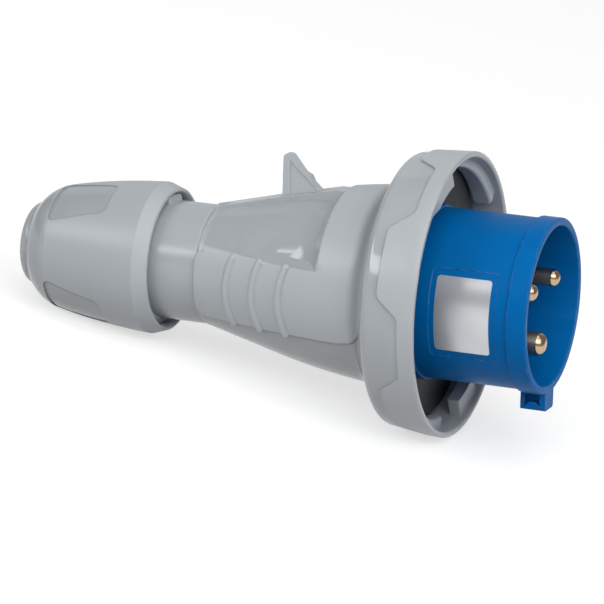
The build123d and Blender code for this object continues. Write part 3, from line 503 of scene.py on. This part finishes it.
groove = thread_sum("MULTIPLY", groove, thread_sum("MULTIPLY", fade_in, fade_out))
wall = thread_sum("SUBTRACT", sizes["Crest Radius"], thread_sum("MULTIPLY", groove, sizes["Depth"]))
lap_angle = thread_sum("MULTIPLY", lap, 2 * pi)
rolled_point = shade(
    thread_tree, "ShaderNodeCombineXYZ",
    {
        "X": thread_sum("MULTIPLY", depth_in, -1.0),
        "Y": thread_sum("MULTIPLY", wall, thread_sum("SINE", lap_angle)),
        "Z": thread_sum("MULTIPLY", wall, thread_sum("COSINE", lap_angle)),
    },
).outputs[0]
tube = sheet.outputs["Mesh"]
for step, feeds in (
    ("SetPosition", {"Position": rolled_point}),
    ("MergeByDistance", {"Distance": 0.001}),
    ("RealizeInstances", {}),
    ("SetMaterial", {"Material": sizes["Finish"]}),
):
    tube = shade(thread_tree, "GeometryNode" + step, {"Geometry": tube, **feeds}).outputs[0]
shade(thread_tree, "NodeGroupOutput", {"Thread": tube})

blank = bpy.data.objects.new("neck_thread", bpy.data.meshes.new("neck_thread_start"))
bpy.context.scene.collection.objects.link(blank)
cut = blank.modifiers.new("thread", "NODES")
cut.node_group = thread_tree
for socket in thread_tree.interface.items_tree:
    if socket.in_out == "INPUT":
        cut[socket.identifier] = handle_plastic if socket.name == "Finish" else thread_sizes[socket.name]
depsgraph = bpy.context.evaluated_depsgraph_get()
thread_mesh = bpy.data.meshes.new_from_object(blank.evaluated_get(depsgraph))
bpy.data.objects.remove(blank)
thread_mesh.transform(plug_place @ Matrix.Translation((thread_front * mm, 0, 0)) @ Matrix.Scale(mm, 4))

# The solid's neck is plain where the thread goes. The corners of its hook's pocket, each a place along and
# above the plug's line, are moved to the real pocket's, and the hook's plate keeps half its thickness.
neck_rear, neck_front, neck_radius = -152.0, -135.9, 21.6
hook_rear, hook_front, hook_foot = -94.4, -80.7, 26.1
hook_inside, hook_outside = 2.0, 3.35
hook_pocket = {
    (-91.5, 37.0): (-0.4, 1.2),
    (-88.2, 33.5): (0.7, 0.6),
    (-83.9, 29.0): (1.3, 0.9),
    (-83.9, 28.6): (1.3, 0.3),
}


def handle_detail(skin):
    """The neck's plain cylinder gives way to its thread, and the hook is drawn in to its real thickness."""
    plain = []
    for face in skin.faces:
        x, y, z = plug_point(face.calc_center_median())
        if neck_rear < x < neck_front and (y * y + z * z) ** 0.5 > neck_radius:
            plain.append(face)
    bmesh.ops.delete(skin, geom=plain, context="FACES")
    first_new = len(skin.faces)
    skin.from_mesh(thread_mesh)
    skin.faces.ensure_lookup_table()
    thread_faces = skin.faces[first_new:]
    x, y, z = plug_point(thread_faces[0].calc_center_median())
    if thread_faces[0].normal.dot(plug_place.to_3x3() @ Vector((0, y, z))) < 0:
        bmesh.ops.reverse_faces(skin, faces=thread_faces)
    for vertex in skin.verts:
        x, y, z = plug_point(vertex.co)
        if hook_rear < x < hook_front and hook_inside < abs(y) < hook_outside and z > hook_foot:
            shift = (0.0, 0.0)
            for corner, drawn in hook_pocket.items():
                if abs(x - corner[0]) < 0.06 and abs(z - corner[1]) < 0.06:
                    shift = drawn
            vertex.co = frame_point(x + shift[0], y * 0.5, z + shift[1])


finished("handle_body", "handle_grey", handle_plastic, reshape=handle_detail)

# The collar runs out to the flange behind the ring in one wide hollow curve of the same moulding, which the
# side panels follow down to the corner where they sweep up from the lower surface.
curve_rear, curve_length, curve_steps = -59.7, 6.65, 14
curve_start, curve_radius = -59.5, 9.35
low_climb, panel_climb = 1.36, 1.11
flange_radius = 36.88
sweep_start, sweep_radius, sweep_foot = -61.5, 8, -13.5
panel_rise = 0.9


def turned_piece(name, first, last, columns, outline, finish, body, slot):
    """A closed skin swept about the plug's line between two turns. At each turn, outline gives its section
    as places along the plug and radii, in millimetres, always as many and in the same order."""
    skin = bmesh.new()
    rows = []
    whole = abs(last - first - 360) < 0.01
    for column in range(columns if whole else columns + 1):
        turn = first + (last - first) * column / columns
        side, up = -sin(radians(turn)), cos(radians(turn))
        rows.append([skin.verts.new(frame_point(x, r * side, r * up)) for x, r in outline(turn)])
    for near, far in zip(rows, rows[1:] + rows[:1] if whole else rows[1:]):
        for corner in range(len(near)):
            ahead = (corner + 1) % len(near)
            skin.faces.new((near[corner], near[ahead], far[ahead], far[corner]))
    if not whole:
        skin.faces.new(rows[0])
        skin.faces.new(rows[-1])
    bmesh.ops.recalc_face_normals(skin, faces=skin.faces)
    mesh = bpy.data.meshes.new(name)
    skin.to_mesh(mesh)
    skin.free()
    mesh.materials.append(finish)
    mesh.shade_smooth()
    mesh.set_sharp_from_angle(angle=radians(35))
    laid(name, mesh, body, slot)


def collar_outline(turn):
    """The section of the curve from the collar to the flange at a turn."""
    points = []
    for step in range(curve_steps + 1):
        x = curve_rear + curve_length * step / curve_steps
        behind = x - grip_rear
        base = cone_radius + cone_taper * behind - bend * (behind - bend_start) ** 2
        run = max(x - curve_start, 0.0)
        rise = curve_radius - (curve_radius ** 2 - run ** 2) ** 0.5
        low = base + rise * low_climb
        panel = base + panel_rise + rise * panel_climb
        swept = min(max(x - sweep_start, 0), sweep_radius)
        corner = sweep_foot + sweep_radius - (sweep_radius ** 2 - swept ** 2) ** 0.5
        raised = min(max((low * cos(radians(turn)) - corner) / 0.5, 0), 1)
        raised = raised * raised * (3 - 2 * raised)
        tucked = 0.03 if step == 0 else 0
        points.append((x, min(low + (panel - low) * raised, flange_radius) - tucked))
    return points + [(-53.05, 33.0), (-54.5, 31.0), (curve_rear, 30.0)]


turned_piece("collar_curve", 0, 360, 720, collar_outline, handle_plastic, "housing", "handle_grey")

# A stop lug of the same moulding stands on the neck in the nut's mouth. It holds the nut where it was
# tightened, so that the gland's grip on the cord can't work loose.
lug_first, lug_last = -18, 12
lug_front, lug_rear, lug_foot = -132.9, -134.9, 19.2
lug_ends, lug_rise = 20.0, 1.9


def lug_outline(turn):
    """The section of the stop lug at a turn, lower towards its two ends."""
    end = min(abs(turn - lug_first), abs(turn - lug_last)) / 4
    top = lug_ends + lug_rise * (1 - (1 - min(end, 1)) ** 2) ** 0.5
    return [
        (lug_rear, lug_foot), (lug_rear, top - 0.1), (lug_rear + 0.3, top), (lug_front - 0.7, top),
        (lug_front - 0.2, top - 0.3), (lug_front, top - 0.9), (lug_front + 0.35, 19.75),
        (lug_front + 0.35, lug_foot),
    ]


turned_piece("nut_stop_lug", lug_first, lug_last, 40, lug_outline, handle_plastic, "housing", "handle_grey")

# The locking ring: a grey moulding that turns on the handle's collar. Its barrel and wide round shoulder are
# polished, and the layer with the tabs outside it has a finer, duller skin.
barrel_front = -31.3
barrel_length = 15.5
barrel_radius = 46.1
barrel_taper = 0.0629


def ring_layer(tree, line):
    """1 on the layer with the tabs and inside the ring, 0 on the polished barrel and its shoulder."""
    ahead = sums(tree, "SUBTRACT", barrel_front, line.outputs["Along"])
    barrel = sums(tree, "MULTIPLY_ADD", ahead, -barrel_taper, barrel_radius)
    above = sums(tree, "SUBTRACT", line.outputs["Radius"], barrel)
    outside = between(tree, above, 0.25, 0.55)
    inside = between(tree, above, -0.5, -0.9)
    hollow = between(tree, ahead, barrel_length, barrel_length - 1.0)
    return sums(tree, "MAXIMUM", outside, sums(tree, "MULTIPLY", inside, hollow))


ring_plastic = moulded_plastic(
    "ring_plastic", colour=(0.385, 0.411, 0.431), paler=(0.415, 0.441, 0.461), polished=0.12, grained=0.36,
    grain_mask=ring_layer, pore=0.008, sink=0.02,
)
finished("locking_ring", "ring_grey", ring_plastic)

# The gland's cap nut: a grained grey moulding with three polished finger hollows and a smooth rounded tail,
# which screws on the neck and presses the gland on the cord. A soft grey guide for the cord sits in its end.
crown_front = -137.6
crown_length = 33.6
crown_radius = 25.4
crown_taper = 4.6
crown_bulge = 2.8
tail_front = -170.9


def nut_hollows(tree, line):
    """0 in the polished finger hollows of the nut, 0.5 on its grained crown, 1 on the duller band in front of the
    crown, which is painted paler as if lit from the front, and 0.3 on the tail."""
    along = line.outputs["Along"]
    share = sums(tree, "DIVIDE", sums(tree, "SUBTRACT", crown_front, along), crown_length)
    bulge = sums(tree, "MULTIPLY", share, sums(tree, "SUBTRACT", 1.0, share))
    bulge = sums(tree, "MULTIPLY", bulge, crown_bulge)
    crown = sums(tree, "ADD", sums(tree, "MULTIPLY_ADD", share, -crown_taper, crown_radius), bulge)
    raised = between(tree, sums(tree, "SUBTRACT", line.outputs["Radius"], crown), -0.27, -0.12, 0.0, 0.5)
    front = between(tree, along, -137.9, -137.5)
    tail = between(tree, along, tail_front, tail_front - 0.6, 1.0, 0.3)
    return sums(tree, "MINIMUM", sums(tree, "MAXIMUM", raised, front), tail)


def draw_out(vertex, height):
    """Moves a vertex straight out from the plug's line, by a height in millimetres."""
    x, y, z = plug_point(vertex.co)
    grown = 1 + height / (y * y + z * z) ** 0.5
    vertex.co = frame_point(x, y * grown, z * grown)


def softer_hollows(skin):
    """The walls of the finger hollows, drawn out to half their height, blend into the crown."""
    for vertex in skin.verts:
        x, y, z = plug_point(vertex.co)
        share = (crown_front - x) / crown_length
        if 0.02 < share < 0.99:
            crown = crown_radius - crown_taper * share + crown_bulge * share * (1 - share)
            under = crown - (y * y + z * z) ** 0.5
            if 0.12 < under < 1.1:
                draw_out(vertex, 0.5 * (under - 0.05))


# The band in front of the crown is painted paler than the crown, standing in for the light that falls on it from the
# front.
nut_plastic = moulded_plastic(
    "nut_plastic", colour=(0.345, 0.370, 0.390), paler=(0.435, 0.463, 0.485), polished=0.15, grained=0.53,
    grain_mask=nut_hollows, pore=0.08, sink=0.02,
)
finished("gland_nut", "nut_grey", nut_plastic, crisp=10, reshape=softer_hollows)

guide_rubber = moulded_plastic(
    "guide_rubber", colour=(0.36, 0.38, 0.395), paler=(0.38, 0.40, 0.415), polished=0.2, grained=0.26,
    pore=0.003,
)
finished("cord_guide", "guide_grey", guide_rubber)

# The pin carrier: the blue shroud with its floor and key, moulded in one in a satin plastic that is deep
# and even, and screwed to the handle's bosses from the front.
recess_radius = 27.65
recess_rear, recess_front, recess_half_width = -34.0, -9.5, 20
recess_lift = 0.16
carrier_plastic = moulded_plastic(
    "carrier_plastic", colour=(0.000, 0.127, 0.395), paler=(0.000, 0.132, 0.408), polished=0.34, grained=0.40,
    pore=0.006, Specular_IOR_Level=0.06,
)


def shallow_recess(skin):
    """The label's recess has a soft low step, so its floor is lifted a little."""
    for vertex in skin.verts:
        x, y, z = plug_point(vertex.co)
        off_floor = abs((y * y + z * z) ** 0.5 - recess_radius)
        in_recess = recess_rear < x < recess_front and y < 0 and abs(z) < recess_half_width
        if in_recess and off_floor < 0.03:
            draw_out(vertex, recess_lift)


finished("pin_carrier", "shroud_blue", carrier_plastic, reshape=shallow_recess)

# The face gasket: a flat ring of dark rubber that the socket's rim is pressed on. Two rings of black rubber
# are hidden inside, one between the carrier and the handle, and one that closes round the cord.
gasket_rubber = moulded_plastic(
    "gasket_rubber", colour=(0.030, 0.034, 0.037), paler=(0.04, 0.043, 0.046), polished=0.55, grained=0.65,
    pore=0.02,
)
finished("face_gasket", "gasket_black", gasket_rubber)
seal_rubber = moulded_plastic(
    "seal_rubber", colour=(0.018, 0.018, 0.018), paler=(0.03, 0.03, 0.03), polished=0.4, grained=0.5,
    pore=0.01,
)
for node in ("body_seal", "cable_seal"):
    finished(node, "seal_black", seal_rubber)

# The rating label: a silver metallised film, left bare, that is stuck in its recess on the shroud's side.
# A film is too thin for rounded edges.
film_lift = 0.035
label_film = moulded_plastic(
    "label_film", colour=(0.62, 0.63, 0.655), paler=(0.66, 0.67, 0.69), polished=0.31, grained=0.35,
    pore=0.0015, edge_round=0, Metallic=0.72,
)


def proud_film(skin):
    """The film's outer face comes up to just under the shroud's own surface."""
    for vertex in skin.verts:
        x, y, z = plug_point(vertex.co)
        if (y * y + z * z) ** 0.5 > recess_radius + 0.15:
            draw_out(vertex, film_lift)


finished("rating_label", "label_silver", label_film, reshape=proud_film)


# The contact pins: turned brass, set in the carrier's floor. Their domed tips are a brighter brass, and the
# shanks are rougher and painted darker, a painted dark reflection down their sides.
def pin_tips(tree, line):
    """1 on the domed tips, 0 down the shanks, which are painted darker as a dark reflection."""
    return between(tree, line.outputs["Along"], -4.9, -4.2)


pin_brass = moulded_plastic(
    "pin_brass", colour=(0.36, 0.335, 0.29), paler=(0.56, 0.40, 0.25), polished=0.36, grained=0.19,
    grain_mask=pin_tips, pore=0.006, Metallic=1.0,
)
for node in ("earth_pin", "line_pin", "neutral_pin"):
    finished(node, "pin_brass", pin_brass)

# The screws, of zinc plated steel: one clamps the wire in each terminal, one fastens the terminal holder,
# and two hold the carrier to the handle.
screw_zinc = moulded_plastic(
    "screw_zinc", colour=(0.56, 0.56, 0.55), paler=(0.62, 0.62, 0.61), polished=0.25, grained=0.32,
    pore=0.004, Metallic=1.0,
)
for node in (
    "earth_terminal_screw", "line_terminal_screw", "neutral_terminal_screw", "holder_screw",
    "carrier_screw_left", "carrier_screw_right",
):
    finished(node, "screw_steel", screw_zinc)

# The mouldings inside, in a pale hard plastic: the holder round the terminals, and the washer and the cage
# of fingers with which the nut closes the gland.
holder_plastic = moulded_plastic(
    "holder_plastic", colour=(0.48, 0.48, 0.47), paler=(0.52, 0.52, 0.51), polished=0.4, grained=0.45,
    pore=0.01,
)
finished("terminal_holder", "holder_grey", holder_plastic)
finished("thrust_washer", "washer_white", holder_plastic)
finished("clamp_cage", "cage_grey", holder_plastic)

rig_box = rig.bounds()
json.dump({"cad": [list(v) for v in cad_box], "visual": [list(v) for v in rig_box]}, open("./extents.json", "w"))
